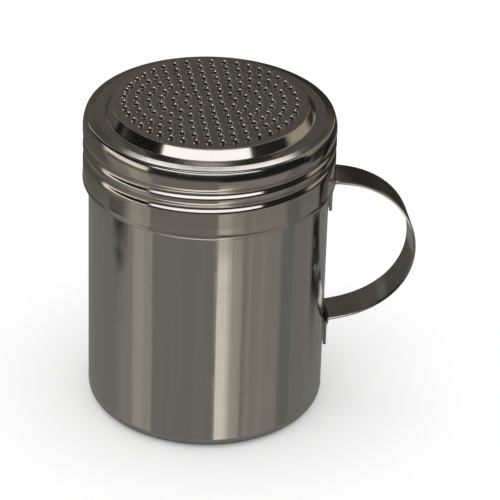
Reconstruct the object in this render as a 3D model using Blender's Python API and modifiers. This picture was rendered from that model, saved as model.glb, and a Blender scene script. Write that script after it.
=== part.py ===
"""A round stainless shaker can with a strap handle and a perforated screw lid.

Lengths are in metres and angles in degrees. The origin is on the can's axis at the base, +Z is up and
the handle points along +X. The handle's reach is counted from the can's wall.
"""

import math

import bmesh
import bpy
from mathutils import Vector, geometry

# Overall sizes
overall_height = 0.0955
can_radius = 0.0347
handle_reach = 0.0262

# Can
can_wall = 0.0005
base_corner_radius = 0.0034
neck_step = 0.0005
neck_step_height = 0.0008
lip_curl_radius = 0.0012

# Lid
lid_wall = 0.0005
lid_height = 0.0244
plateau_rise = 0.0029
plateau_edge_radius = 0.0006
plateau_step_slope = 59
channel_fillet_radius = 0.0005
channel_width = 0.0041
shoulder_radius = 0.0014
lid_rim_flare = 0.00015
lid_rim_height = 0.0009

# Holes in the lid: one in the middle, then rings of 6, 12, 18 and so on
hole_pitch = 0.00351
hole_radius = 0.0008
hole_margin = 0.0020
hole_sides = 6
hole_rest_angle = 30.8

# Rolled thread, right-handed: a groove in the lid's wall, and a ridge on the neck half a lead below it
thread_lead = 0.0043
thread_width = 0.0036
thread_turns = 1.84
thread_run_out_turns = 0.12
thread_start_depth = 0.0082
thread_start_angle = 51.4
neck_ridge_height = 0.00065
lid_groove_depth = 0.00065

# Strap handle
strap_width = 0.0112
strap_thickness = 0.00086
strap_bend_radius = 0.0016
strap_slope = 7.3
strap_tab_length = 0.0084
strap_corner_radius = 0.0022
strap_flatten_length = 0.0096
lower_tab_height = 0.0145
handle_bulge_drop = 0.0006
handle_root_pull_share = 0.76
handle_tip_pull_share = 0.39

# Rivets
rivet_shank_radius = 0.0010
rivet_head_radius = 0.0016
rivet_head_height = 0.0010
rivet_tail_radius = 0.0018
rivet_tail_height = 0.0006
rivet_depth_below_bend = 0.0023

# Clearances
seat_gap = 0.0003
thread_gap = 0.00035
lid_to_strap_gap = 0.00035
neck_below_rim_gap = 0.0009
cut_overrun = 0.0020

# Mesh densities
around_steps = 40
arc_steps = 3
thread_rows_per_turn = 6
strap_rows = 9
strap_columns = 4
strap_corner_shares = (0.0, 0.12, 0.4, 1.0)
cutter_sides = 12
sharp_angle = 40
screw_merge = 0.00001

# Heights that follow from the sizes above
lid_bottom = overall_height - lid_height
shoulder_top = overall_height - plateau_rise
neck_top = shoulder_top - lid_wall - seat_gap
neck_bottom = lid_bottom + neck_below_rim_gap
lid_thread_start = overall_height - thread_start_depth
neck_thread_start = lid_thread_start - thread_lead / 2
upper_bend_height = lid_bottom - lid_to_strap_gap - strap_bend_radius - strap_thickness / 2
lower_bend_height = lower_tab_height + strap_tab_length
upper_rivet_height = upper_bend_height - rivet_depth_below_bend
lower_rivet_height = lower_bend_height - rivet_depth_below_bend

# Radii that follow from the sizes above
neck_radius = can_radius - neck_step
groove_radius = neck_radius + neck_ridge_height + thread_gap + lid_wall
lid_radius = groove_radius + lid_groove_depth
channel_radius = groove_radius - shoulder_radius - channel_width
tab_radius = can_radius + seat_gap + strap_thickness / 2
bend_centre_radius = tab_radius + strap_bend_radius


def point_on(centre, radius, degrees):
    """The point of a circle in the profile plane, with 0 degrees outwards and 90 up."""
    angle = math.radians(degrees)
    return centre[0] + radius * math.cos(angle), centre[1] + radius * math.sin(angle)


def arc(centre, radius, start, end, steps=arc_steps):
    """Points along a circle in the profile plane, both ends included."""
    return [point_on(centre, radius, start + (end - start) * i / steps) for i in range(steps + 1)]


def thread_rows(radius, start):
    """Evenly spaced points down the wall of this radius, close enough to carry a thread from this height."""
    top = start + thread_width / 2
    drop = thread_turns * thread_lead + thread_width
    count = max(1, math.ceil(drop / thread_lead * thread_rows_per_turn))
    return [(radius, top - drop * i / count) for i in range(count + 1)]


def smooth_step(share):
    """Eases from 0 to 1 as the share does."""
    share = min(1.0, max(0.0, share))
    return share * share * (3 - 2 * share)


def thread_share(angle, height, start):
    """How much of its full depth a thread from this start height has at this angle and height."""
    turned = (angle - math.radians(thread_start_angle)) / math.tau
    down = (start - height) / thread_lead
    along = round(down + turned) - turned
    offset = abs(down - along) * thread_lead * 2 / thread_width
    if offset >= 1:
        return 0.0
    fade_in = smooth_step(along / thread_run_out_turns)
    fade_out = smooth_step((thread_turns - along) / thread_run_out_turns)
    return fade_in * fade_out * (1 + math.cos(math.pi * offset)) / 2


def steel(name, colour, roughness):
    """A polished steel material."""
    material = bpy.data.materials.new(name)
    material.use_nodes = True
    shader = material.node_tree.nodes["Principled BSDF"]
    shader.inputs["Base Color"].default_value = (*colour, 1.0)
    shader.inputs["Metallic"].default_value = 1.0
    shader.inputs["Roughness"].default_value = roughness
    return material


def add_part(name, mesh, parts, material):
    """Links a new piece with this mesh and material into the collection."""
    mesh.materials.append(material)
    mesh.shade_smooth()
    mesh.set_sharp_from_angle(angle=math.radians(sharp_angle))
    part = bpy.data.objects.new(name, mesh)
    parts.objects.link(part)
    return part


def add_cutter(name, work, cutters):
    """Links what the bmesh holds into the collection as a cutter, which isn't rendered."""
    mesh = bpy.data.meshes.new(name)
    work.to_mesh(mesh)
    work.free()
    cutter = bpy.data.objects.new(name, mesh)
    cutters.objects.link(cutter)
    cutter.hide_render = True
    cutter.display_type = "WIRE"
    return cutter


def add_prism(work, sides, radius, depth):
    """Adds a closed prism along Z, centred on the origin, and gives its vertices."""
    return bmesh.ops.create_cone(
        work, cap_ends=True, segments=sides, radius1=radius, radius2=radius, depth=depth
    )["verts"]


def turned_mesh(profile, steps=around_steps):
    """The surface that a profile sweeps round Z."""
    mesh = bpy.data.meshes.new("profile")
    lines = [(i, i + 1) for i in range(len(profile) - 1)]
    mesh.from_pydata([(radius, 0, height) for radius, height in profile], lines, [])
    outline = bpy.data.objects.new("profile", mesh)
    bpy.context.scene.collection.objects.link(outline)
    screw = outline.modifiers.new("turn", "SCREW")
    screw.steps = steps
    screw.render_steps = steps
    screw.use_merge_vertices = True
    screw.merge_threshold = screw_merge
    graph = bpy.context.evaluated_depsgraph_get()
    turned = bpy.data.meshes.new_from_object(outline.evaluated_get(graph))
    bpy.data.objects.remove(outline)
    return turned


def roll_thread(mesh, wall_radius, start, rise):
    """Rolls the thread out of the straight wall of this radius, or into it where the rise is negative."""
    for vertex in mesh.vertices:
        radius = math.hypot(vertex.co.x, vertex.co.y)
        if abs(radius - wall_radius) > screw_merge:
            continue
        share = thread_share(math.atan2(vertex.co.y, vertex.co.x), vertex.co.z, start)
        vertex.co.x *= (radius + rise * share) / radius
        vertex.co.y *= (radius + rise * share) / radius


def add_thickness(part, thickness, offset):
    """Gives a surface its sheet thickness, wholly inwards at offset -1 and half each way at 0."""
    sheet = part.modifiers.new("sheet", "SOLIDIFY")
    sheet.thickness = thickness
    sheet.offset = offset
    sheet.use_even_offset = True


def cut(part, cutters):
    """Cuts each cutter out of a piece."""
    for cutter in cutters:
        boolean = part.modifiers.new(cutter.name, "BOOLEAN")
        boolean.operation = "DIFFERENCE"
        boolean.object = cutter


def can_profile():
    """The can's outer side, from inside the curled lip down to the middle of the base."""
    lip = (neck_radius - lip_curl_radius, neck_top - lip_curl_radius)
    corner = (can_radius - base_corner_radius, base_corner_radius)
    return [
        *arc(lip, lip_curl_radius, 240, 0, 2 * arc_steps),
        *thread_rows(neck_radius, neck_thread_start),
        (neck_radius, neck_bottom),
        (can_radius, neck_bottom - neck_step_height),
        *arc(corner, base_corner_radius, 0, -90),
        (0, 0),
    ]


def plateau_flat_radius():
    """Where the plateau's flat top ends, from the slope and the two rounded edges of its step."""
    slope = math.radians(plateau_step_slope)
    rounding = plateau_edge_radius + channel_fillet_radius
    straight_drop = plateau_rise - rounding * (1 - math.cos(slope))
    return channel_radius - rounding * math.sin(slope) - straight_drop / math.tan(slope)


def lid_profile():
    """The lid's outer side, from the middle of its plateau down to the skirt's rim."""
    edge = (plateau_flat_radius(), overall_height - plateau_edge_radius)
    fillet = (channel_radius, shoulder_top + channel_fillet_radius)
    shoulder = (groove_radius - shoulder_radius, shoulder_top - shoulder_radius)
    rim_radius = lid_radius + lid_rim_flare
    turn = 90 - plateau_step_slope
    return [
        (0, overall_height),
        *arc(edge, plateau_edge_radius, 90, turn),
        *arc(fillet, channel_fillet_radius, 180 + turn, 270),
        *arc(shoulder, shoulder_radius, 90, 0),
        *thread_rows(lid_radius, lid_thread_start),
        (lid_radius, lid_bottom + lid_rim_height),
        (rim_radius, lid_bottom + lid_rim_height / 2),
        (rim_radius, lid_bottom),
    ]


def join_plateau(mesh):
    """Makes the flat plateau one face, so that the holes cut it cleanly."""
    work = bmesh.new()
    work.from_mesh(mesh)
    flat = [f for f in work.faces if f.calc_center_median().z > overall_height - screw_merge]
    bmesh.ops.dissolve_faces(work, faces=flat, use_verts=True)
    work.to_mesh(mesh)
    work.free()


def hole_centres():
    """Where the lid's holes are: as many rings as the plateau has room for."""
    rings = math.floor((plateau_flat_radius() - hole_margin - hole_radius) / hole_pitch)
    centres = [(0, 0)]
    for ring in range(1, rings + 1):
        for i in range(6 * ring):
            centres.append(point_on((0, 0), ring * hole_pitch, hole_rest_angle + i * 60 / ring))
    return centres


def hole_punches(cutters):
    """One cutter that holds a prism for every hole in the lid."""
    work = bmesh.new()
    for x, y in hole_centres():
        punch = add_prism(work, hole_sides, hole_radius, 2 * cut_overrun)
        bmesh.ops.translate(work, verts=punch, vec=(x, y, overall_height))
    return add_cutter("hole_punches", work, cutters)


def make_can(parts, bores):
    """The can: flat base, straight wall, threaded neck and curled lip, with a hole for each rivet."""
    mesh = turned_mesh(can_profile())
    roll_thread(mesh, neck_radius, neck_thread_start, neck_ridge_height)
    can = add_part("can_body", mesh, parts, steel("can_steel", (0.62, 0.61, 0.59), 0.08))
    add_thickness(can, can_wall, -1)
    cut(can, bores)


def make_lid(parts, cutters):
    """The screw lid: perforated plateau, shoulder, and a wall with the thread rolled into it."""
    mesh = turned_mesh(lid_profile())
    roll_thread(mesh, lid_radius, lid_thread_start, -lid_groove_depth)
    join_plateau(mesh)
    lid = add_part("lid", mesh, parts, steel("lid_steel", (0.60, 0.57, 0.54), 0.10))
    add_thickness(lid, lid_wall, -1)
    cut(lid, [hole_punches(cutters)])


def tab_rows(bend_height):
    """Rows of one tab: distance out, height and half the width, which the round corners narrow."""
    rows = []
    for share in strap_corner_shares:
        rise = share * strap_corner_radius
        inset = strap_corner_radius - rise
        narrowing = strap_corner_radius - math.sqrt(strap_corner_radius**2 - inset**2)
        height = bend_height - strap_tab_length + rise
        rows.append((tab_radius, height, strap_width / 2 - narrowing))
    return rows


def loop_points(top, foot):
    """The open loop of the handle between the two bends: two curves that meet at its furthest point."""
    tip_radius = can_radius + handle_reach - strap_thickness / 2
    tip = Vector((tip_radius, (top[1] + foot[1]) / 2 - handle_bulge_drop))
    root_pull = handle_root_pull_share * (tip.x - top[0])
    tip_pull = Vector((0, handle_tip_pull_share * (tip.x - top[0])))
    out_of_top = Vector(point_on(top, root_pull, -strap_slope))
    into_foot = Vector(point_on(foot, root_pull, strap_slope))
    first = geometry.interpolate_bezier(Vector(top), out_of_top, tip + tip_pull, tip, strap_rows)
    second = geometry.interpolate_bezier(tip, tip - tip_pull, into_foot, Vector(foot), strap_rows)
    return [tuple(point) for point in (*first[1:], *second[1:-1])]


def strap_path():
    """Rows along the middle of the strap, from the upper tab's end to the lower tab's end."""
    upper = arc((bend_centre_radius, upper_bend_height), strap_bend_radius, 180, 90 - strap_slope)
    lower = arc((bend_centre_radius, lower_bend_height), strap_bend_radius, 90 + strap_slope, 180)
    middle = [*upper, *loop_points(upper[-1], lower[0]), *lower]
    return [
        *tab_rows(upper_bend_height),
        *[(radius, height, strap_width / 2) for radius, height in middle],
        *reversed(tab_rows(lower_bend_height)),
    ]


def strap_point(row, share):
    """A point of the strap's middle surface. The tabs follow the can's curve, and the loop is flat."""
    radius, height, half_width = row
    across = half_width * share
    curve = tab_radius - math.sqrt(tab_radius**2 - across**2)
    wrap = 1 - smooth_step((radius - tab_radius) / strap_flatten_length)
    return radius - wrap * curve, across, height


def make_strap(parts, bores):
    """The handle: one strap bent into a loop, with a tab at each end and a rivet hole in each."""
    rows = strap_path()
    work = bmesh.new()
    bmesh.ops.create_grid(work, x_segments=len(rows) - 1, y_segments=strap_columns, size=1)
    for vertex in work.verts:
        row = rows[round((vertex.co.x + 1) / 2 * (len(rows) - 1))]
        vertex.co = strap_point(row, vertex.co.y)
    mesh = bpy.data.meshes.new("handle_strap")
    work.to_mesh(mesh)
    work.free()
    strap = add_part("handle_strap", mesh, parts, steel("strap_steel", (0.55, 0.54, 0.52), 0.14))
    add_thickness(strap, strap_thickness, 0)
    cut(strap, bores)


def place_on_tab(obj, height):
    """Turns an object's own Z outwards and puts its origin in the middle of a tab."""
    obj.location = (tab_radius, 0, height)
    obj.rotation_euler = (0, math.radians(90), 0)


def rivet_bore(name, height, cutters):
    """The cutter of one rivet's hole through the tab and the can's wall."""
    work = bmesh.new()
    depth = 2 * (strap_thickness + can_wall + cut_overrun)
    add_prism(work, cutter_sides, rivet_shank_radius + seat_gap, depth)
    bore = add_cutter(name, work, cutters)
    place_on_tab(bore, height)
    return bore


def rivet_profile():
    """One rivet's outline: domed head at the top, then shank and flat tail, with 0 in the tab's middle."""
    head_seat = strap_thickness / 2 + seat_gap
    tail_seat = can_radius - can_wall - seat_gap - tab_radius
    dome = [
        (rivet_head_radius * x, head_seat + rivet_head_height * y)
        for x, y in arc((0, 0), 1, 90, 0)
    ]
    return [
        *dome,
        (rivet_shank_radius, head_seat),
        (rivet_shank_radius, tail_seat),
        (rivet_tail_radius, tail_seat),
        (rivet_tail_radius, tail_seat - rivet_tail_height),
        (0, tail_seat - rivet_tail_height),
    ]


def make_rivet(name, height, parts, material):
    """One rivet through a tab and the can's wall, with its head outside."""
    rivet = add_part(name, turned_mesh(rivet_profile(), cutter_sides), parts, material)
    place_on_tab(rivet, height)


def add_collection(name):
    """A new collection in the scene."""
    collection = bpy.data.collections.new(name)
    bpy.context.scene.collection.children.link(collection)
    return collection


def main():
    """Clears the scene and makes the shaker."""
    for obj in list(bpy.data.objects):
        bpy.data.objects.remove(obj)
    parts = add_collection("spice_shaker")
    cutters = add_collection("cutters")
    cutters.hide_render = True
    bores = [
        rivet_bore("upper_rivet_bore", upper_rivet_height, cutters),
        rivet_bore("lower_rivet_bore", lower_rivet_height, cutters),
    ]
    make_can(parts, bores)
    make_lid(parts, cutters)
    make_strap(parts, bores)
    rivet_steel = steel("rivet_steel", (0.58, 0.57, 0.55), 0.18)
    make_rivet("upper_rivet", upper_rivet_height, parts, rivet_steel)
    make_rivet("lower_rivet", lower_rivet_height, parts, rivet_steel)


main()
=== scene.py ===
"""Visual model of a polished steel dredge shaker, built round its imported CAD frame.

Lengths are in metres, and angles in degrees unless a name says otherwise. The origin is on the can's
axis at its base, +Z is up and the handle points along +X. Profiles are lists of (radius, height) points
that run with the metal on their left.
"""

import logging
import math
from collections.abc import Callable, Iterable, Sequence
from dataclasses import dataclass
from enum import Enum
from typing import Any

import bmesh
import bpy
import numpy as np
from bpy.types import Material, Mesh, Node, NodeSocket, NodeTree, Object
from mathutils import Matrix, Vector, geometry


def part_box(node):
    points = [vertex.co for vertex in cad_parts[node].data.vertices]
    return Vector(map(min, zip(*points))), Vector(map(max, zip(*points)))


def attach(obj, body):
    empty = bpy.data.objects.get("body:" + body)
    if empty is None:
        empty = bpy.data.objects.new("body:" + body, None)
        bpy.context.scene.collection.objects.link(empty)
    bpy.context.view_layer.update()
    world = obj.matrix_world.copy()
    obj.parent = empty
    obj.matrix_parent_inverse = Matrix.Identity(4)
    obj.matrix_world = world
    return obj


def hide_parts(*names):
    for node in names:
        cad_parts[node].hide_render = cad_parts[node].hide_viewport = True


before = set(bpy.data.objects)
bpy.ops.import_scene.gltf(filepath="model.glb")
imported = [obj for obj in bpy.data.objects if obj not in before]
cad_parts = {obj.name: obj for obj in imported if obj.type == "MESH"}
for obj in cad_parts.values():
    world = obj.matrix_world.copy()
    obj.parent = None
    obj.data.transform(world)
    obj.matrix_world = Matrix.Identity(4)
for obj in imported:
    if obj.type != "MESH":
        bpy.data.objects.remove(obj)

LOG = logging.getLogger("shaker")
Point = tuple[float, float]
Colour = tuple[float, float, float]

MM = 0.001
AROUND = 256  # facets round the can and the lid
WELD = 0.01 * MM  # points closer than this become one
GUARD = 0.12 * MM  # flat strip kept beside each rounding, so that its shading stays in it
LONG_LEG = 6 * GUARD  # a leg longer than this gets guard points
MITRE_LIMIT = 0.3  # smallest cosine that an offset corner is stretched by
SHARP_ANGLE = 38.0
RIM_CHORDS = 6  # chords round the lid's lower edge
THREAD_DROP = 8.2 * MM  # from the lid's top down to where its thread starts
THREAD_DEPTH = 0.65 * MM


# ---------------------------------------------------------------- profiles


def polar(centre: Point, radius: float, degrees: float) -> Point:
    """Gives the point of a circle in the profile plane, with 0 degrees outwards and 90 up."""
    angle = math.radians(degrees)
    return centre[0] + radius * math.cos(angle), centre[1] + radius * math.sin(angle)


def arc(centre: Point, radius: float, start: float, end: float, steps: int = 8) -> list[Point]:
    """Walks along a circle in the profile plane.

    Args:
        centre: Middle of the circle.
        radius: Its radius.
        start: First angle.
        end: Last angle.
        steps: Number of chords.

    Returns:
        The points, both ends included.
    """
    return [polar(centre, radius, start + (end - start) * i / steps) for i in range(steps + 1)]


def ease(start: Point, end: Point, steps: int = 8) -> list[Point]:
    """Steps from one radius to another while the height runs evenly, as in a drawn step.

    Args:
        start: First point.
        end: Last point.
        steps: Number of chords.

    Returns:
        The points, both ends included.
    """
    points = []
    for i in range(steps + 1):
        share = i / steps
        blend = share * share * (3 - 2 * share)
        points.append((start[0] + (end[0] - start[0]) * blend, start[1] + (end[1] - start[1]) * share))
    return points


def rows(radius: float, start: float, end: float, pitch: float) -> list[Point]:
    """Spaces points evenly along a straight wall.

    Args:
        radius: Radius of the wall.
        start: First height.
        end: Last height.
        pitch: Largest distance between two points.

    Returns:
        The points, both ends included.
    """
    count = max(1, math.ceil(abs(end - start) / pitch))
    return [(radius, start + (end - start) * i / count) for i in range(count + 1)]


def offset_left(line: Sequence[Point], distance: float) -> list[Point]:
    """Shifts an open profile to its left, into the metal, by the thickness of the sheet.

    Args:
        line: Points of the profile.
        distance: Thickness of the sheet.

    Returns:
        One shifted point for each point of the line.
    """
    points = np.array(line)
    legs = np.diff(points, axis=0)
    legs /= np.linalg.norm(legs, axis=1, keepdims=True)
    left = np.stack([-legs[:, 1], legs[:, 0]], axis=1)
    before = np.vstack([left[:1], left])
    after = np.vstack([left, left[-1:]])
    middle = before + after
    middle /= np.linalg.norm(middle, axis=1, keepdims=True)
    reach = distance / np.maximum(MITRE_LIMIT, (middle * after).sum(axis=1, keepdims=True))
    return [tuple(point) for point in points + middle * reach]


def tidy(line: Sequence[Point]) -> list[Point]:
    """Drops repeated points, and puts a guard point just inside both ends of each long leg.

    Args:
        line: Points of the profile.

    Returns:
        The points to turn.
    """
    clean = [line[0]]
    for point in line[1:]:
        if math.dist(point, clean[-1]) > WELD:
            clean.append(point)
    out = [clean[0]]
    for one, other in zip(clean, clean[1:]):
        length = math.dist(one, other)
        if length > LONG_LEG:
            for share in (GUARD / length, 1 - GUARD / length):
                out.append(tuple(a + (b - a) * share for a, b in zip(one, other)))
        out.append(other)
    return out


# ---------------------------------------------------------------- meshes


def turn(name: str, line: Sequence[Point], steps: int = AROUND) -> Mesh:
    """Turns a profile round Z into a mesh whose faces point out of the metal.

    Args:
        name: Name of the mesh.
        line: Profile with the metal on its left. A point at radius 0 becomes a pole.
        steps: Number of facets round the axis.

    Returns:
        The mesh.
    """
    verts: list[tuple[float, float, float]] = []
    rings: list[list[int]] = []
    circle = [(math.cos(math.tau * j / steps), math.sin(math.tau * j / steps)) for j in range(steps)]
    for radius, height in line:
        first = len(verts)
        if radius < WELD:
            verts.append((0.0, 0.0, height))
            rings.append([first] * steps)
        else:
            verts.extend((radius * c, radius * s, height) for c, s in circle)
            rings.append(list(range(first, first + steps)))
    faces = []
    for low, high in zip(rings, rings[1:]):
        for j in range(steps):
            k = (j + 1) % steps
            corners = (low[j], low[k], high[k], high[j])
            faces.append(tuple(dict.fromkeys(corners)))
    mesh = bpy.data.meshes.new(name)
    mesh.from_pydata(verts, [], faces)
    return mesh


def place(name: str, mesh: Mesh) -> Object:
    """Links a mesh into the scene as an object at the origin.

    Args:
        name: Name of the object.
        mesh: Its mesh.

    Returns:
        The object.
    """
    obj = bpy.data.objects.new(name, mesh)
    bpy.context.scene.collection.objects.link(obj)
    return obj


def smooth(obj: Object, angle: float = SHARP_ANGLE) -> None:
    """Shades an object smoothly, with an edge wherever its faces meet more sharply than the angle."""
    obj.data.shade_smooth()
    obj.data.set_sharp_from_angle(angle=math.radians(angle))


def hand_over(
    obj: Object, body: str, nodes: Iterable[str], label: str
) -> Object:
    """Tells the frame what a finished piece rides on and stands in for, and logs it.

    Args:
        obj: The piece, at the origin.
        body: CAD body that it moves with.
        nodes: CAD nodes that it replaces.
        label: What the log calls it.

    Returns:
        The piece.
    """
    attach(obj, body)
    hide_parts(*nodes)
    faces = len(obj.data.polygons)
    LOG.info("%s: %s, %d faces, rides on %s", obj.name, label, faces, body)
    return obj


# ---------------------------------------------------------------- node trees


@dataclass
class Graph:
    """Adds and joins nodes in one node tree."""

    tree: NodeTree

    def add(self, kind: str, inputs: dict[Any, Any] | None = None, **settings: Any) -> Node:
        """Adds a node.

        Args:
            kind: Blender's name for the type of node.
            inputs: Values or sockets for its inputs, by name or number.
            **settings: Properties of the node.

        Returns:
            The node.
        """
        node = self.tree.nodes.new(kind)
        for key, value in settings.items():
            setattr(node, key, value)
        for key, value in (inputs or {}).items():
            self.feed(node.inputs[key], value)
        return node

    def feed(self, socket: NodeSocket, value: Any) -> None:
        """Links another socket into this one, or sets its value.

        Args:
            socket: Input of a node.
            value: Output of another node, or a plain value.
        """
        if isinstance(value, NodeSocket):
            self.tree.links.new(value, socket)
        else:
            socket.default_value = value

    def math(self, operation: str, *values: Any) -> NodeSocket:
        """Adds a Math node and gives its result."""
        return self.add("ShaderNodeMath", dict(enumerate(values)), operation=operation).outputs[0]

    def vector(self, operation: str, *values: Any) -> NodeSocket:
        """Adds a Vector Math node and gives its vector result."""
        return self.add("ShaderNodeVectorMath", dict(enumerate(values)), operation=operation).outputs[0]

    def step(self, value: Any, low: Any, high: Any, out: tuple[Any, Any] = (0.0, 1.0)) -> NodeSocket:
        """Eases a value from out[0] to out[1] as it goes from low to high.

        Args:
            value: What is eased.
            low: Where the easing starts.
            high: Where it ends.
            out: The results at both ends.

        Returns:
            The eased value.
        """
        node = self.add(
            "ShaderNodeMapRange",
            {"Value": value, "From Min": low, "From Max": high, "To Min": out[0], "To Max": out[1]},
            interpolation_type="SMOOTHSTEP",
        )
        return node.outputs[0]

    def mix(self, factor: Any, one: Any, other: Any) -> NodeSocket:
        """Mixes two colours and gives the result.

        Args:
            factor: Share of the other colour.
            one: First colour.
            other: Other colour.

        Returns:
            The mixed colour.
        """
        node = self.add("ShaderNodeMix", data_type="RGBA")
        for socket, value in zip((node.inputs[0], node.inputs[6], node.inputs[7]), (factor, one, other)):
            self.feed(socket, value)
        return node.outputs[2]


class Socket(Enum):
    """Types of socket on the side of a node group."""

    FLOAT = "NodeSocketFloat"
    INT = "NodeSocketInt"
    VECTOR = "NodeSocketVector"
    COLOUR = "NodeSocketColor"
    GEOMETRY = "NodeSocketGeometry"
    OBJECT = "NodeSocketObject"
    MATERIAL = "NodeSocketMaterial"


class TreeKind(Enum):
    """Where a node group is used."""

    SHADER = "ShaderNodeTree"
    SHAPE = "GeometryNodeTree"


def new_group(
    name: str, kind: TreeKind, inputs: dict[str, Socket], outputs: dict[str, Socket]
) -> tuple[Graph, dict[str, NodeSocket], Node]:
    """Starts a node group with named inputs and outputs.

    Args:
        name: Name of the group.
        kind: Where it is used.
        inputs: Names and types of its inputs.
        outputs: Names and types of its outputs.

    Returns:
        The graph to build in, the inputs' sockets by name, and the output node.
    """
    tree = bpy.data.node_groups.new(name, kind.value)
    for direction, sockets in (("INPUT", inputs), ("OUTPUT", outputs)):
        for label, socket in sockets.items():
            tree.interface.new_socket(name=label, in_out=direction, socket_type=socket.value)
    graph = Graph(tree)
    source = graph.add("NodeGroupInput")
    return graph, {label: source.outputs[label] for label in inputs}, graph.add("NodeGroupOutput")


def apply_tree(obj: Object, tree: NodeTree, values: dict[str, Any]) -> None:
    """Runs a Geometry Nodes tree on an object and keeps the result as its plain mesh.

    Args:
        obj: The object, whose mesh goes in and is replaced.
        tree: The tree to run.
        values: Values for the tree's named inputs.
    """
    modifier = obj.modifiers.new(tree.name, "NODES")
    modifier.node_group = tree
    for item in tree.interface.items_tree:
        if item.item_type == "SOCKET" and item.in_out == "INPUT" and item.name in values:
            modifier[item.identifier] = values[item.name]
    graph = bpy.context.evaluated_depsgraph_get()
    mesh = bpy.data.meshes.new_from_object(obj.evaluated_get(graph))
    obj.modifiers.remove(modifier)
    old, obj.data = obj.data, mesh
    bpy.data.meshes.remove(old)
    mesh.name = obj.name
    mesh.materials.clear()
    mesh.materials.append(values["Material"])
    mesh.polygons.foreach_set("material_index", np.zeros(len(mesh.polygons), dtype=np.int32))


def finish_tree(graph: Graph, shape: NodeSocket, material: NodeSocket, end: Node) -> None:
    """Ends a Geometry Nodes tree in Realize Instances and Set Material.

    Args:
        graph: Nodes of the tree.
        shape: Geometry to finish.
        material: The material input.
        end: Output node of the tree.
    """
    real = graph.add("GeometryNodeRealizeInstances", {"Geometry": shape})
    painted = graph.add("GeometryNodeSetMaterial", {"Geometry": real.outputs[0], "Material": material})
    graph.feed(end.inputs["Geometry"], painted.outputs[0])


def rolled_thread_tree() -> NodeTree:
    """Builds the tree that rolls a helical thread into a turned wall, both faces of the sheet alike.

    Returns:
        A tree with the thread's sizes as inputs.
    """
    names = ("Wall Radius", "Wall Reach", "Rise", "Lead", "Width", "Start", "Turns", "Run Out", "Start Angle")
    graph, given, end = new_group(
        "rolled_thread",
        TreeKind.SHAPE,
        {"Geometry": Socket.GEOMETRY, **{name: Socket.FLOAT for name in names}, "Material": Socket.MATERIAL},
        {"Geometry": Socket.GEOMETRY},
    )
    place_now = graph.add("GeometryNodeInputPosition").outputs[0]
    x, y, z = graph.add("ShaderNodeSeparateXYZ", {0: place_now}).outputs
    radius = graph.math("SQRT", graph.math("ADD", graph.math("MULTIPLY", x, x), graph.math("MULTIPLY", y, y)))
    angle = graph.math("SUBTRACT", graph.math("ARCTAN2", y, x), given["Start Angle"])
    turned = graph.math("DIVIDE", angle, math.tau)
    down = graph.math("DIVIDE", graph.math("SUBTRACT", given["Start"], z), given["Lead"])
    along = graph.math("SUBTRACT", graph.math("ROUND", graph.math("ADD", down, turned)), turned)
    apart = graph.math("ABSOLUTE", graph.math("SUBTRACT", down, along))
    half_width = graph.math("DIVIDE", graph.math("MULTIPLY", given["Width"], 0.5), given["Lead"])
    offset = graph.math("MINIMUM", graph.math("DIVIDE", apart, half_width), 1.0)
    ridge = graph.math("MULTIPLY_ADD", graph.math("COSINE", graph.math("MULTIPLY", offset, math.pi)), 0.5, 0.5)
    fade_in = graph.step(along, 0.0, given["Run Out"])
    fade_out = graph.step(graph.math("SUBTRACT", given["Turns"], along), 0.0, given["Run Out"])
    on_wall = graph.math(
        "LESS_THAN", graph.math("ABSOLUTE", graph.math("SUBTRACT", radius, given["Wall Radius"])), given["Wall Reach"]
    )
    rise = given["Rise"]
    for share in (ridge, fade_in, fade_out, on_wall):
        rise = graph.math("MULTIPLY", rise, share)
    stretch = graph.math("ADD", 1.0, graph.math("DIVIDE", rise, graph.math("MAXIMUM", radius, WELD)))
    moved = graph.add(
        "ShaderNodeCombineXYZ", {0: graph.math("MULTIPLY", x, stretch), 1: graph.math("MULTIPLY", y, stretch), 2: z}
    ).outputs[0]
    pushed = graph.add("GeometryNodeSetPosition", {"Geometry": given["Geometry"], "Position": moved})
    finish_tree(graph, pushed.outputs[0], given["Material"], end)
    return graph.tree


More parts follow.
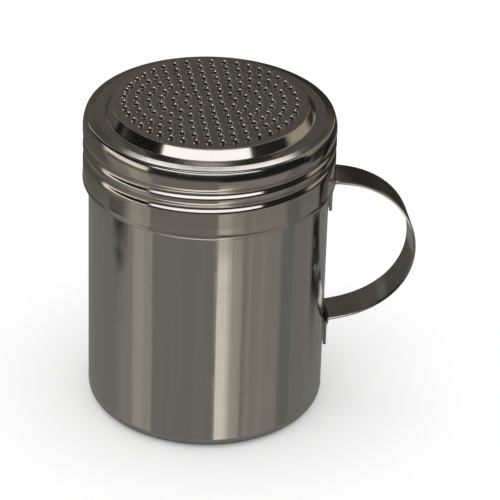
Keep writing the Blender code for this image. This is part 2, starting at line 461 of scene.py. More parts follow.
def perforation_tree() -> NodeTree:
    """Builds the tree that fills the open top of a turned shell with a sheet pierced in rings.

    Returns:
        A tree with the pattern's sizes as inputs. Its geometry input is the shell.
    """
    floats = ("Pitch", "Rest Angle", "Top", "Sheet", "Edge Radius", "Collar Radius", "Weld")
    graph, given, end = new_group(
        "ringed_perforations",
        TreeKind.SHAPE,
        {
            "Geometry": Socket.GEOMETRY,
            "Hole": Socket.OBJECT,
            "Rings": Socket.INT,
            "Edge Facets": Socket.INT,
            "Hole Facets": Socket.INT,
            **{name: Socket.FLOAT for name in floats},
            "Material": Socket.MATERIAL,
        },
        {"Geometry": Socket.GEOMETRY},
    )
    # Ring k holds 6k holes, and 3k(k - 1) + 1 come before it, so hole n is in ring (sqrt(12n + 9) - 3) / 6,
    # rounded up. The thousandth keeps the last hole of a ring in it.
    number = graph.add("GeometryNodeInputIndex").outputs[0]
    root = graph.math("SQRT", graph.math("MULTIPLY_ADD", number, 12.0, 9.0))
    ring = graph.math("CEIL", graph.math("DIVIDE", graph.math("SUBTRACT", root, 3.001), 6.0))
    before = graph.math("MULTIPLY_ADD", graph.math("MULTIPLY", ring, graph.math("SUBTRACT", ring, 1.0)), 3.0, 1.0)
    place_in_ring = graph.math("SUBTRACT", number, before)
    share = graph.math("DIVIDE", place_in_ring, graph.math("MAXIMUM", graph.math("MULTIPLY", ring, 6.0), 1.0))
    angle = graph.math("MULTIPLY_ADD", share, math.tau, given["Rest Angle"])
    radius = graph.math("MULTIPLY", ring, given["Pitch"])
    centre = graph.add(
        "ShaderNodeCombineXYZ",
        {
            0: graph.math("MULTIPLY", radius, graph.math("COSINE", angle)),
            1: graph.math("MULTIPLY", radius, graph.math("SINE", angle)),
        },
    ).outputs[0]
    last = given["Rings"]
    count = graph.math("MULTIPLY_ADD", graph.math("MULTIPLY", last, graph.math("ADD", last, 1.0)), 3.0, 1.0)
    centres = graph.add("GeometryNodePoints", {"Count": count, "Position": centre}).outputs[0]

    collar = graph.add(
        "GeometryNodeCurvePrimitiveCircle", {"Resolution": given["Hole Facets"], "Radius": given["Collar Radius"]}
    ).outputs[0]
    edge = graph.add(
        "GeometryNodeCurvePrimitiveCircle", {"Resolution": given["Edge Facets"], "Radius": given["Edge Radius"]}
    ).outputs[0]
    collars = graph.add("GeometryNodeInstanceOnPoints", {"Points": centres, "Instance": collar}).outputs[0]
    outlines = graph.add("GeometryNodeJoinGeometry").inputs[0]
    for curve in (graph.add("GeometryNodeRealizeInstances", {0: collars}).outputs[0], edge):
        graph.feed(outlines, curve)
    sheet = graph.add("GeometryNodeFillCurve", {"Curve": outlines.node.outputs[0]}).outputs[0]
    lift = graph.add("ShaderNodeCombineXYZ", {2: given["Top"]}).outputs[0]
    sink = graph.add("ShaderNodeCombineXYZ", {2: graph.math("SUBTRACT", given["Top"], given["Sheet"])}).outputs[0]
    upper = graph.add("GeometryNodeSetPosition", {"Geometry": sheet, "Offset": lift}).outputs[0]
    turned_over = graph.add("GeometryNodeFlipFaces", {"Mesh": sheet}).outputs[0]
    lower = graph.add("GeometryNodeSetPosition", {"Geometry": turned_over, "Offset": sink}).outputs[0]
    hole = graph.add("GeometryNodeObjectInfo", {"Object": given["Hole"]}).outputs["Geometry"]
    holes = graph.add("GeometryNodeInstanceOnPoints", {"Points": centres, "Instance": hole}).outputs[0]
    lifted = graph.add("GeometryNodeTranslateInstances", {"Instances": holes, "Translation": lift}).outputs[0]

    joined = graph.add("GeometryNodeJoinGeometry").inputs[0]
    for part in (given["Geometry"], upper, lower, graph.add("GeometryNodeRealizeInstances", {0: lifted}).outputs[0]):
        graph.feed(joined, part)
    welded = graph.add(
        "GeometryNodeMergeByDistance", {"Geometry": joined.node.outputs[0], "Distance": given["Weld"]}
    ).outputs[0]
    finish_tree(graph, welded, given["Material"], end)
    return graph.tree


def rivet_pair_tree() -> NodeTree:
    """Builds the tree that sets one rivet in the middle of each tab, head outwards.

    Returns:
        A tree with the two heights and the tabs' radius as inputs.
    """
    graph, given, end = new_group(
        "rivet_pair",
        TreeKind.SHAPE,
        {
            "Geometry": Socket.GEOMETRY,
            "Upper Height": Socket.FLOAT,
            "Lower Height": Socket.FLOAT,
            "Tab Radius": Socket.FLOAT,
            "Material": Socket.MATERIAL,
        },
        {"Geometry": Socket.GEOMETRY},
    )
    number = graph.add("GeometryNodeInputIndex").outputs[0]
    gap = graph.math("SUBTRACT", given["Lower Height"], given["Upper Height"])
    height = graph.math("MULTIPLY_ADD", number, gap, given["Upper Height"])
    spot = graph.add("ShaderNodeCombineXYZ", {0: given["Tab Radius"], 2: height}).outputs[0]
    spots = graph.add("GeometryNodePoints", {"Count": 2, "Position": spot}).outputs[0]
    outwards = (0.0, math.radians(90), 0.0)
    pair = graph.add(
        "GeometryNodeInstanceOnPoints", {"Points": spots, "Instance": given["Geometry"], "Rotation": outwards}
    ).outputs[0]
    finish_tree(graph, pair, given["Material"], end)
    return graph.tree


# ---------------------------------------------------------------- finishes


class Working(Enum):
    """How a piece of steel was worked, which sets the way its fine lines run."""

    DRAWN = "up the wall"
    SPUN = "round the axis"
    ROLLED = "along the strip"
    PRESSED = "no way in particular"


class Effects:
    """The groups that all the steels share, each built once."""

    def __init__(self) -> None:
        """Builds the groups."""
        self.lines = self.worked_lines()
        self.handling = self.handled_surface()
        self.scratches = self.hairline_scratches()
        # Painted shade for creases and the walls under rims, as a dull brown film.
        self.crease_shade_tree = self.settled_grime()

    @staticmethod
    def worked_lines() -> NodeTree:
        """Builds the fine lines left by the tool, which run where the given place changes slowly.

        Returns:
            A group with the lines' height, and a tone that follows the broader ones.
        """
        graph, given, end = new_group(
            "worked_lines",
            TreeKind.SHADER,
            {"Place": Socket.VECTOR, "Turn": Socket.FLOAT, "Pitch": Socket.FLOAT},
            {"Height": Socket.FLOAT, "Tone": Socket.FLOAT},
        )
        scaled = graph.add("ShaderNodeVectorMath", {0: given["Place"]}, operation="SCALE")
        graph.feed(scaled.inputs["Scale"], graph.math("DIVIDE", 1.0, given["Pitch"]))
        fine = graph.add(
            "ShaderNodeTexNoise",
            {"Vector": scaled.outputs[0], "W": given["Turn"], "Scale": 1.0, "Detail": 3.0, "Roughness": 0.62},
            noise_dimensions="4D",
        )
        broad = graph.add(
            "ShaderNodeTexNoise",
            {"Vector": scaled.outputs[0], "W": given["Turn"], "Scale": 0.23, "Detail": 2.0, "Roughness": 0.5},
            noise_dimensions="4D",
        )
        graph.feed(end.inputs["Height"], graph.math("MULTIPLY_ADD", broad.outputs[0], 2.2, fine.outputs[0]))
        graph.feed(end.inputs["Tone"], graph.step(broad.outputs[0], 0.36, 0.64))
        return graph.tree

    @staticmethod
    def handled_surface() -> NodeTree:
        """Builds what use leaves on polished sheet: shallow waves, and the film that fingers leave.

        Returns:
            A group with the height of the waves and a mask of the smudges.
        """
        graph, given, end = new_group(
            "handled_surface",
            TreeKind.SHADER,
            {"Place": Socket.VECTOR, "Wave Length": Socket.FLOAT, "Smudge Size": Socket.FLOAT},
            {"Wave": Socket.FLOAT, "Smudge": Socket.FLOAT},
        )
        waves = graph.add("ShaderNodeTexNoise", {"Vector": given["Place"], "Detail": 1.0, "Roughness": 0.4})
        graph.feed(waves.inputs["Scale"], graph.math("DIVIDE", 1.0, given["Wave Length"]))
        smudge_film_and_painted_shade = graph.add(
            "ShaderNodeTexNoise", {"Vector": given["Place"], "Detail": 5.0, "Roughness": 0.6, "Distortion": 0.7}
        )
        graph.feed(smudge_film_and_painted_shade.inputs["Scale"], graph.math("DIVIDE", 1.0, given["Smudge Size"]))
        graph.feed(end.inputs["Wave"], waves.outputs[0])
        graph.feed(end.inputs["Smudge"], graph.step(smudge_film_and_painted_shade.outputs[0], 0.46, 0.68))
        return graph.tree

    @staticmethod
    def hairline_scratches() -> NodeTree:
        """Builds thin broken scratches that cross each other.

        Returns:
            A group with a mask of the scratches.
        """
        graph, given, end = new_group(
            "hairline_scratches",
            TreeKind.SHADER,
            {"Place": Socket.VECTOR, "Spacing": Socket.FLOAT, "Breadth": Socket.FLOAT},
            {"Scratch": Socket.FLOAT},
        )
        size = graph.math("DIVIDE", 1.0, given["Spacing"])
        masks = []
        for tilt, lean, stretch in ((0.5, 0.3, 0.06), (-0.9, 0.8, 0.05), (1.4, -0.5, 0.08)):
            turned = graph.add(
                "ShaderNodeMapping",
                {"Vector": given["Place"], "Rotation": (lean, tilt, tilt * 0.7), "Scale": (1.0, 1.0, stretch)},
            ).outputs[0]
            cells = graph.add("ShaderNodeTexVoronoi", {"Vector": turned, "Scale": size}, feature="DISTANCE_TO_EDGE")
            masks.append(graph.step(cells.outputs["Distance"], 0.0, given["Breadth"], (1.0, 0.0)))
        breaks = graph.add("ShaderNodeTexNoise", {"Vector": given["Place"], "Scale": 0.19, "Detail": 2.0})
        shown = graph.step(breaks.outputs[0], 0.5, 0.62)
        mask = graph.math("MAXIMUM", graph.math("MAXIMUM", masks[0], masks[1]), masks[2])
        graph.feed(end.inputs["Scratch"], graph.math("MULTIPLY", mask, shown))
        return graph.tree

    @staticmethod
    def settled_grime() -> NodeTree:
        """Builds painted shade: a dull darkening between two levels of some measure, in uneven patches.

        Returns:
            A group with a mask of the painted shade.
        """
        graph, given, end = new_group(
            "settled_grime",
            TreeKind.SHADER,
            {
                "Place": Socket.VECTOR, "Level": Socket.FLOAT, "Low": Socket.FLOAT, "High": Socket.FLOAT,
                "Amount": Socket.FLOAT,
            },
            {"Grime": Socket.FLOAT},
        )
        half = graph.math("MULTIPLY", graph.math("SUBTRACT", given["High"], given["Low"]), 0.5)
        middle = graph.math("MULTIPLY", graph.math("ADD", given["High"], given["Low"]), 0.5)
        away = graph.math("ABSOLUTE", graph.math("SUBTRACT", given["Level"], middle))
        window = graph.step(away, graph.math("MULTIPLY", half, 0.4), half, (1.0, 0.0))
        patches = graph.add(
            "ShaderNodeTexNoise", {"Vector": given["Place"], "Scale": 0.55, "Detail": 4.0, "Roughness": 0.65}
        )
        uneven = graph.step(patches.outputs[0], 0.34, 0.66, (0.25, 1.0))
        # The mask marks painted shade between the two levels.
        smudge_film_and_painted_shade = graph.math("MULTIPLY", graph.math("MULTIPLY", window, uneven), given["Amount"])
        graph.feed(end.inputs["Grime"], smudge_film_and_painted_shade)
        return graph.tree


@dataclass(frozen=True)
class PaintedShadeBand:
    """Painted shade in a crease: between two heights, or between two distances from the axis, in millimetres."""

    low: float
    high: float
    amount: float
    by_radius: bool = False


@dataclass(frozen=True)
class SteelFinish:
    """One steel, from its colour to how it has been worked and handled.

    Lengths are in millimetres. The painted shade bands darken the piece's seams and creases.
    """

    name: str
    working: Working
    colour: Colour
    roughness: float
    line_pitch: float = 0.9
    line_depth: float = 0.012
    line_tone: float = 0.06
    line_dulling: float = 0.02
    wave_length: float = 21.0
    wave_depth: float = 0.11
    smudge_size: float = 16.0
    smudge_dulling: float = 0.05
    scratch_spacing: float = 7.0
    scratch_depth: float = 0.0006
    scratch_breadth: float = 0.012
    scratch_dulling: float = 0.06
    painted_shade_bands: tuple[PaintedShadeBand, ...] = ()
    painted_shade_colour: Colour = (0.20, 0.165, 0.13)
    painted_shade_dulling: float = 0.3

    def line_place(self, graph: Graph, place_mm: NodeSocket, radius: NodeSocket) -> tuple[Any, Any]:
        """Squeezes the place along the way the steel was worked, so that the lines run that way.

        Args:
            graph: The material's nodes.
            place_mm: Place in millimetres.
            radius: Distance from the axis in millimetres.

        Returns:
            The squeezed place, and a turn that changes slowly round the axis.
        """
        x, y, z = graph.add("ShaderNodeSeparateXYZ", {0: place_mm}).outputs
        slow, closest, sweep = 0.015, 0.5, 0.5
        if self.working is Working.DRAWN:
            return graph.add("ShaderNodeCombineXYZ", {0: x, 1: y, 2: graph.math("MULTIPLY", z, slow)}).outputs[0], 0.0
        if self.working is Working.SPUN:
            away = graph.math("MAXIMUM", radius, closest)
            eastward, northward = (graph.math("MULTIPLY", graph.math("DIVIDE", side, away), sweep) for side in (x, y))
            return graph.add("ShaderNodeCombineXYZ", {0: radius, 1: z, 2: eastward}).outputs[0], northward
        if self.working is Working.ROLLED:
            strip = graph.add("ShaderNodeUVMap", uv_map="strip").outputs[0]
            squeezed = graph.add(
                "ShaderNodeMapping", {"Vector": strip, "Scale": (slow / MM, 1 / MM, 1.0)}
            ).outputs[0]
            return squeezed, 0.0
        return place_mm, 0.0

    def make(self, effects: Effects) -> Material:
        """Builds the material.

        Args:
            effects: The shared groups.

        Returns:
            The material.
        """
        material = bpy.data.materials.new(self.name)
        material.use_nodes = True
        graph = Graph(material.node_tree)
        shader = material.node_tree.nodes["Principled BSDF"]
        shader.inputs["Metallic"].default_value = 1.0

        spot = graph.add("ShaderNodeTexCoord").outputs["Object"]
        place_mm = graph.add("ShaderNodeMapping", {"Vector": spot, "Scale": (1 / MM,) * 3}).outputs[0]
        x, y, z = graph.add("ShaderNodeSeparateXYZ", {0: place_mm}).outputs
        square = graph.math("ADD", graph.math("MULTIPLY", x, x), graph.math("MULTIPLY", y, y))
        radius = graph.math("SQRT", square)

        squeezed, turned = self.line_place(graph, place_mm, radius)
        lines = self.use(graph, effects.lines, {"Place": squeezed, "Turn": turned, "Pitch": self.line_pitch})
        handling = self.use(
            graph,
            effects.handling,
            {"Place": place_mm, "Wave Length": self.wave_length, "Smudge Size": self.smudge_size},
        )
        scratches = self.use(
            graph,
            effects.scratches,
            {"Place": place_mm, "Spacing": self.scratch_spacing, "Breadth": self.scratch_breadth},
        )
        # Painted shade: in the listed bands the colour darkens towards brown and the steel dulls.
        smudge_film_and_painted_shade: Any = 0.0
        for patch in self.painted_shade_bands:
            level = radius if patch.by_radius else z
            inputs = {"Place": place_mm, "Level": level, "Low": patch.low, "High": patch.high, "Amount": patch.amount}
            smudge_film_and_painted_shade = graph.math("MAXIMUM", smudge_film_and_painted_shade, self.use(graph, effects.crease_shade_tree, inputs)["Grime"])

        dark = tuple(channel * (1 - self.line_tone) for channel in self.colour)
        colour = graph.mix(lines["Tone"], (*dark, 1.0), (*self.colour, 1.0))
        # The painted shade mixes the colour towards dark brown.
        graph.feed(shader.inputs["Base Color"], graph.mix(smudge_film_and_painted_shade, colour, (*self.painted_shade_colour, 1.0)))

        dulled = graph.math("MULTIPLY_ADD", handling["Smudge"], self.smudge_dulling, self.roughness)
        dulled = graph.math("MULTIPLY_ADD", lines["Tone"], self.line_dulling, dulled)
        dulled = graph.math("MULTIPLY_ADD", scratches["Scratch"], self.scratch_dulling, dulled)
        graph.feed(shader.inputs["Roughness"], graph.math("MULTIPLY_ADD", smudge_film_and_painted_shade, self.painted_shade_dulling, dulled))

        normal: Any = None
        heights = (
            (handling["Wave"], self.wave_depth), (lines["Height"], self.line_depth),
            (graph.math("MULTIPLY", scratches["Scratch"], -1.0), self.scratch_depth),
        )
        for height, depth in heights:
            bump = graph.add("ShaderNodeBump", {"Height": height, "Strength": 1.0, "Distance": depth * MM})
            if normal is not None:
                graph.feed(bump.inputs["Normal"], normal)
            normal = bump.outputs[0]
        graph.feed(shader.inputs["Normal"], normal)
        return material

    @staticmethod
    def use(graph: Graph, group: NodeTree, inputs: dict[str, Any]) -> dict[str, NodeSocket]:
        """Places a shared group in the material.

        Args:
            graph: The material's nodes.
            group: The group.
            inputs: Values or sockets for its named inputs.

        Returns:
            Its outputs by name.
        """
        node = graph.add("ShaderNodeGroup", node_tree=group)
        for name, value in inputs.items():
            graph.feed(node.inputs[name], value)
        return {socket.name: socket for socket in node.outputs}


# The bands below are painted shade: on the can under the lid's rim and at its base corner, on the lid in its channel,
# on its plateau and in its thread's grooves.
CAN_STEEL = SteelFinish(
    "polished_can_steel", Working.DRAWN, (0.62, 0.61, 0.59), 0.07,
    painted_shade_bands=(PaintedShadeBand(70.4, 71.4, 0.25), PaintedShadeBand(0.4, 2.2, 0.12)),
)
LID_STEEL = SteelFinish(
    "polished_lid_steel", Working.SPUN, (0.60, 0.57, 0.54), 0.08, line_depth=0.004,
    painted_shade_bands=(PaintedShadeBand(92.3, 92.9, 0.16), PaintedShadeBand(95.45, 95.8, 0.3), PaintedShadeBand(35.5, 36.0, 0.16, by_radius=True)),
)
STRAP_STEEL = SteelFinish("polished_strap_steel", Working.ROLLED, (0.5, 0.49, 0.47), 0.12, line_pitch=0.6)
RIVET_STEEL = SteelFinish(
    "plain_rivet_steel", Working.PRESSED, (0.55, 0.54, 0.52), 0.2, line_pitch=0.35, line_depth=0.02, wave_depth=0.0
)
PLAIN_INSIDE = SteelFinish(
    "plain_inside_steel", Working.SPUN, (0.56, 0.55, 0.53), 0.3, line_pitch=0.5, line_depth=0.02, line_tone=0.12,
    smudge_dulling=0.08,
)


@dataclass(frozen=True)
class Dress:
    """The steel of a sheet's polished outside and of its plain inside."""

    outside: Material
    inside: Material

    def put_on(self, obj: Object, is_inside: Callable[[np.ndarray, np.ndarray], np.ndarray]) -> None:
        """Gives each face the outside's or the inside's steel.

        Args:
            obj: The finished shell.
            is_inside: Says which faces are inside, from their centres and normals.
        """
        mesh = obj.data
        count = len(mesh.polygons)
        centres, normals = np.empty(count * 3), np.empty(count * 3)
        mesh.polygons.foreach_get("center", centres)
        mesh.polygons.foreach_get("normal", normals)
        mesh.materials.clear()
        for material in (self.outside, self.inside):
            mesh.materials.append(material)
        inside = is_inside(centres.reshape(-1, 3), normals.reshape(-1, 3))
        mesh.polygons.foreach_set("material_index", inside.astype(np.int32))
        mesh.update()


# ---------------------------------------------------------------- sub-assemblies


@dataclass
class ScrewThread:
    """A right-handed rolled thread: a groove in the lid, or the ridge on the neck that runs between its turns."""

    start: float
    rise: float
    lead: float = 4.3 * MM
    width: float = 3.6 * MM
    turns: float = 1.84
    start_angle: float = 51.4
    run_out: float = 0.12
    row_pitch: float = 0.2 * MM

    def wall(self, radius: float) -> list[Point]:
        """Gives the rows, from the bottom up, of a wall close enough to carry the thread."""
        low = self.start - self.turns * self.lead - self.width / 2
        return rows(radius, low, self.start + self.width / 2, self.row_pitch)

    def roll(
        self, obj: Object, tree: NodeTree, radius: float, sheet: float,
        material: Material,
    ) -> None:
        """Rolls the thread into a turned shell.

        Args:
            obj: The shell.
            tree: The rolled thread tree.
            radius: Outer radius of the plain wall.
            sheet: Thickness of the wall.
            material: Material of the shell.
        """
        apply_tree(
            obj,
            tree,
            {
                "Wall Radius": radius - sheet / 2,
                "Wall Reach": sheet / 2 + WELD,
                "Rise": self.rise,
                "Lead": self.lead,
                "Width": self.width,
                "Start": self.start,
                "Turns": self.turns,
                "Run Out": self.run_out,
                "Start Angle": math.radians(self.start_angle),
                "Material": material,
            },
        )


@dataclass
class Can:
    """The drawn can: flat base, straight wall, and a neck with a thread and a curled lip."""

    thread: ScrewThread
    lid_bottom: float
    neck_top: float
    radius: float = 34.7 * MM
    sheet: float = 0.5 * MM
    base_corner: float = 3.4 * MM
    neck_step: float = 0.5 * MM
    neck_step_height: float = 0.8 * MM
    neck_below_rim: float = 0.9 * MM
    lip_curl: float = 1.2 * MM
    lip_turn: float = 245.0

    @property
    def neck_radius(self) -> float:
        """Outer radius of the neck."""
        return self.radius - self.neck_step

    def outline(self) -> list[Point]:
        """Draws the sheet's outer side from the middle of the base up to the curled lip.

        Returns:
            The points, up to the lip's inner end.
        """
        neck_bottom = self.lid_bottom + self.neck_below_rim
        corner = (self.radius - self.base_corner, self.base_corner)
        lip = (self.neck_radius - self.lip_curl, self.neck_top - self.lip_curl)
        return [
            (0.0, 0.0),
            *arc(corner, self.base_corner, -90, 0, 14),
            *ease((self.radius, neck_bottom - self.neck_step_height), (self.neck_radius, neck_bottom)),
            *self.thread.wall(self.neck_radius),
            *arc(lip, self.lip_curl, 0, self.lip_turn, 24),
        ]

    def is_inside(self, centres: np.ndarray, normals: np.ndarray) -> np.ndarray:
        """Says which faces look towards the middle of the can."""
        middle = np.array([0.0, 0.0, self.lid_bottom / 2])
        return ((centres - middle) * normals).sum(axis=1) < 0

    def build(self, tree: NodeTree, dress: Dress) -> Object:
        """Makes the can.

        Args:
            tree: The rolled thread tree.
            dress: The can's steels.

        Returns:
            The finished piece.
        """
        outer = self.outline()
        inner = offset_left(outer, self.sheet)
        inner[0] = (0.0, self.sheet)
        shell = place("can_shell", turn("can_shell", tidy([*outer, *reversed(inner)])))
        self.thread.roll(shell, tree, self.neck_radius, self.sheet, dress.outside)
        dress.put_on(shell, self.is_inside)
        smooth(shell)
        return hand_over(shell, "can", ["can_body"], "drawn can with a threaded neck")


@dataclass
class Lid:
    """The pressed screw lid: perforated plateau, channel, shoulder, plain drum, rolled thread and skirt.

    The outline of a hole's nib is in millimetres above the plateau. It runs up the nib's two cones, down into
    its opening, and back out along the underside of the sheet.
    """

    thread: ScrewThread
    top: float
    bottom: float
    sheet: float = 0.5 * MM
    radius: float = 36.35 * MM
    plateau_rise: float = 2.9 * MM
    plateau_edge: float = 0.45 * MM
    step_slope: float = 59.0
    channel_fillet: float = 0.45 * MM
    channel_radius: float = 30.2 * MM
    channel_end: float = 32.7 * MM
    channel_bend: float = 2.5 * MM
    shoulder_slope: float = 10.0
    shoulder: float = 1.1 * MM
    drum_rounding: float = 8.0 * MM
    drum_lean: float = 24.0
    rim_flare: float = 0.11 * MM
    rim_height: float = 1.8 * MM
    rim_rounding: float = 0.56 * MM
    rim_underside: float = -80.0
    flat_margin: float = 0.2 * MM
    middle_depth: float = 8.0 * MM
    hole_pitch: float = 3.51 * MM
    hole_rings: int = 7
    hole_rest_angle: float = 30.8
    hole_facets: int = 10
    hole_outline: tuple[Point, ...] = (
        (1.1, 0.0), (0.99, 0.34), (0.62, 0.74), (0.3, 0.52), (0.75, -0.5), (1.1, -0.5),
    )

    @property
    def flat_radius(self) -> float:
        """Radius at which the plateau's flat top ends.

        Returns:
            The radius.
        """
        slope = math.radians(self.step_slope)
        rounding = self.plateau_edge + self.channel_fillet
        straight_drop = self.plateau_rise - rounding * (1 - math.cos(slope))
        return self.channel_radius - rounding * math.sin(slope) - straight_drop / math.tan(slope)

    def outline(self) -> list[Point]:
        """Draws the sheet's outer side from the rim up to the plateau's flat top.

        Returns:
            The points, where the first RIM_CHORDS go round the rim's edge.
        """
        channel_height = self.top - self.plateau_rise
        edge = (self.flat_radius, self.top - self.plateau_edge)
        fillet = (self.channel_radius, channel_height + self.channel_fillet)
        bend = (self.channel_end, channel_height - self.channel_bend)
        lean, slope = self.drum_lean, 90 - self.shoulder_slope
        drum_start = self.radius - self.drum_rounding * (1 - math.cos(math.radians(lean)))
        corner_radius = drum_start - self.shoulder * math.cos(math.radians(lean))
        fall_start = polar(bend, self.channel_bend, slope)
        fall_end = polar((corner_radius, 0.0), self.shoulder, slope)
        fall = (fall_end[0] - fall_start[0]) * math.tan(math.radians(self.shoulder_slope))
        corner = (corner_radius, fall_start[1] - fall - fall_end[1])
        drum_height = polar(corner, self.shoulder, lean)[1] - self.drum_rounding * math.sin(math.radians(lean))
        rim = self.radius + self.rim_flare
        rim_centre = (rim - self.rim_rounding, self.bottom + self.rim_rounding)
        step_lean = 90 - self.step_slope
        return [
            *arc(rim_centre, self.rim_rounding, self.rim_underside, 0, RIM_CHORDS),
            *ease((rim, self.bottom + self.rim_height / 2), (self.radius, self.bottom + self.rim_height)),
            *(point for point in self.thread.wall(self.radius) if point[1] < drum_height - WELD),
            *arc((self.radius - self.drum_rounding, drum_height), self.drum_rounding, 0, lean, 16),
            *arc(corner, self.shoulder, lean, slope, 12),
            *arc(bend, self.channel_bend, slope, 90, 4),
            *arc(fillet, self.channel_fillet, 270, 180 + step_lean, 8),
            *arc(edge, self.plateau_edge, step_lean, 90, 10),
            (self.flat_radius - self.flat_margin, self.top),
        ]

    def is_inside(self, centres: np.ndarray, normals: np.ndarray) -> np.ndarray:
        """Says which faces look into the lid, the walls of the holes among them.

        Args:
            centres: Middle of each face.
            normals: Normal of each face.

        Returns:
            True for each face inside.
        """
        middle = np.array([0.0, 0.0, self.top - self.middle_depth])
        inwards = ((centres - middle) * normals).sum(axis=1) < 0
        on_plateau = np.hypot(centres[:, 0], centres[:, 1]) < self.flat_radius
        return np.where(on_plateau, normals[:, 2] < -0.1, inwards)

    def crisp_nibs(self, mesh: Mesh) -> None:
        """Sharpens the rings of every nib, each of which is pressed as plain cones.

        Args:
            mesh: The finished lid.
        """
        count = len(mesh.edges)
        heights = np.empty(len(mesh.vertices) * 3)
        mesh.vertices.foreach_get("co", heights)
        ends = np.empty(count * 2, dtype=np.int32)
        mesh.edges.foreach_get("vertices", ends)
        ends_height = heights[2::3][ends.reshape(-1, 2)]
        level = np.ptp(ends_height, axis=1) < WELD
        ring = level & (ends_height.min(axis=1) > self.top + WELD)
        sharp = np.empty(count, dtype=bool)
        mesh.edges.foreach_get("use_edge_sharp", sharp)
        mesh.edges.foreach_set("use_edge_sharp", sharp | ring)

    def build(self, thread_tree: NodeTree, hole_tree: NodeTree, dress: Dress) -> Object:
        """Makes the lid.

        Args:
            thread_tree: The rolled thread tree.
            hole_tree: The perforation tree.
            dress: The lid's steels.

        Returns:
            The finished piece.
        """
        outer = self.outline()
        inner = offset_left(outer[RIM_CHORDS:], self.sheet)
        inner[-1] = (outer[-1][0], self.top - self.sheet)
        inner[0] = (outer[RIM_CHORDS][0] - self.sheet, self.bottom + self.rim_rounding / 2)
        shell = place("shaker_lid", turn("shaker_lid", tidy([*reversed(inner), *outer])))
        self.thread.roll(shell, thread_tree, self.radius, self.sheet, dress.outside)
        hole_line = [(r * MM, z * MM) for r, z in self.hole_outline]
        hole = place("hole", turn("hole", hole_line, self.hole_facets))
        apply_tree(
            shell,
            hole_tree,
            {
                "Hole": hole,
                "Rings": self.hole_rings,
                "Edge Facets": AROUND,
                "Hole Facets": self.hole_facets,
                "Pitch": self.hole_pitch,
                "Rest Angle": math.radians(self.hole_rest_angle),
                "Top": self.top,
                "Sheet": self.sheet,
                "Edge Radius": outer[-1][0],
                "Collar Radius": hole_line[0][0],
                "Weld": WELD,
                "Material": dress.outside,
            },
        )
        bpy.data.objects.remove(hole)
        dress.put_on(shell, self.is_inside)
        smooth(shell)
        self.crisp_nibs(shell.data)
        return hand_over(shell, "lid", ["lid"], "pressed screw lid with 169 holes")


